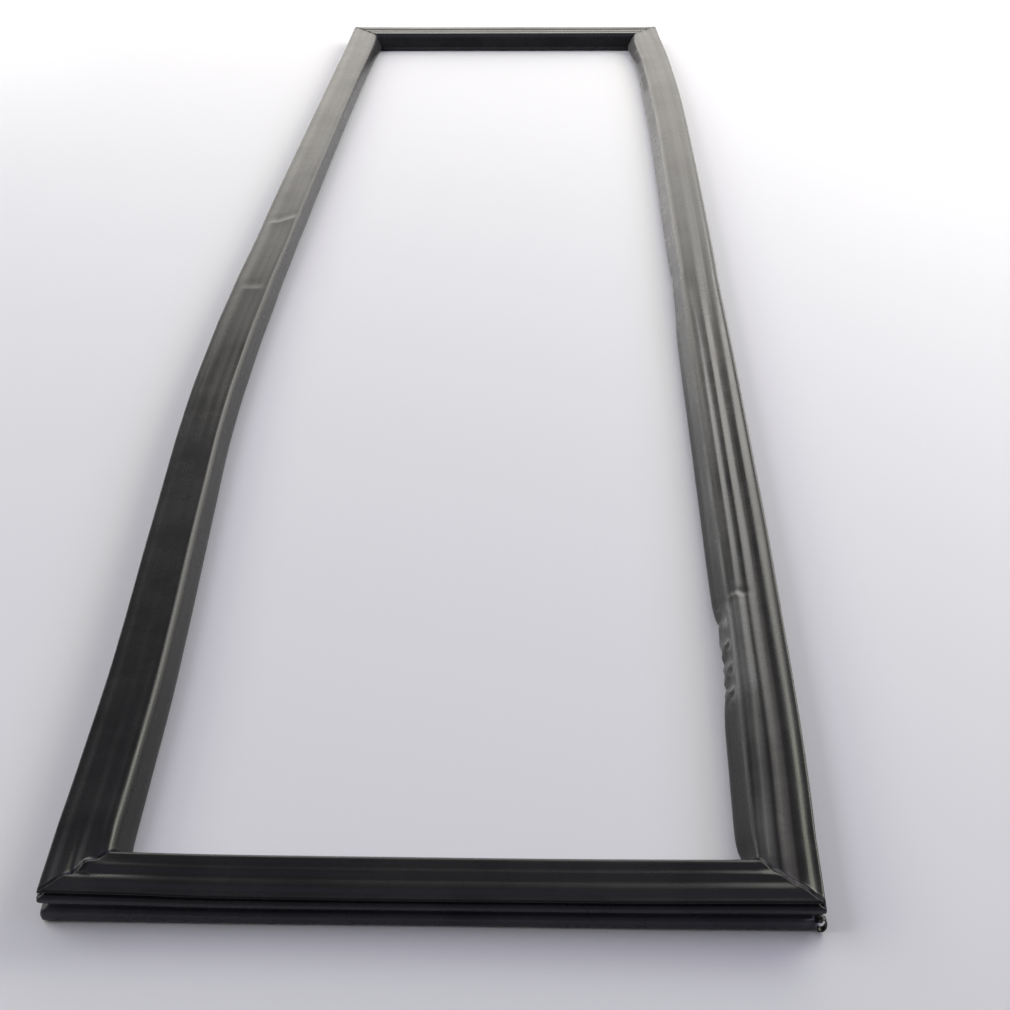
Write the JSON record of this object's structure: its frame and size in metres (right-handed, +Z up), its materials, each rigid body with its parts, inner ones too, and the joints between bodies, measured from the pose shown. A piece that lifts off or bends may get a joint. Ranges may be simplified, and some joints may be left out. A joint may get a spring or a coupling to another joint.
{
  "type": "refrigerator door gasket",
  "caption": "Black flexible magnetic door gasket: a hollow folded profile mitred and welded into a long rectangular frame, with magnet strips inside its sealing face.",
  "frame": {"origin": "centre of the bounding box in plan, at the level of the foot that the gasket lies on", "axes": "+Z up out of the sealing face, +Y along the long sides away from the near short side, +X to the right"},
  "size_m": [0.417, 1.473, 0.0219],
  "materials": {
    "black_vinyl": "satin flexible PVC with fine extrusion lines, slightly dusty",
    "magnet_rubber": "matt ferrite-filled rubber"
  },
  "bodies": {
    "root": {"gasket_frame": "black_vinyl", "magnet_strip_near": "magnet_rubber", "magnet_strip_right": "magnet_rubber", "magnet_strip_far": "magnet_rubber", "magnet_strip_left": "magnet_rubber"}
  },
  "joints": []
}
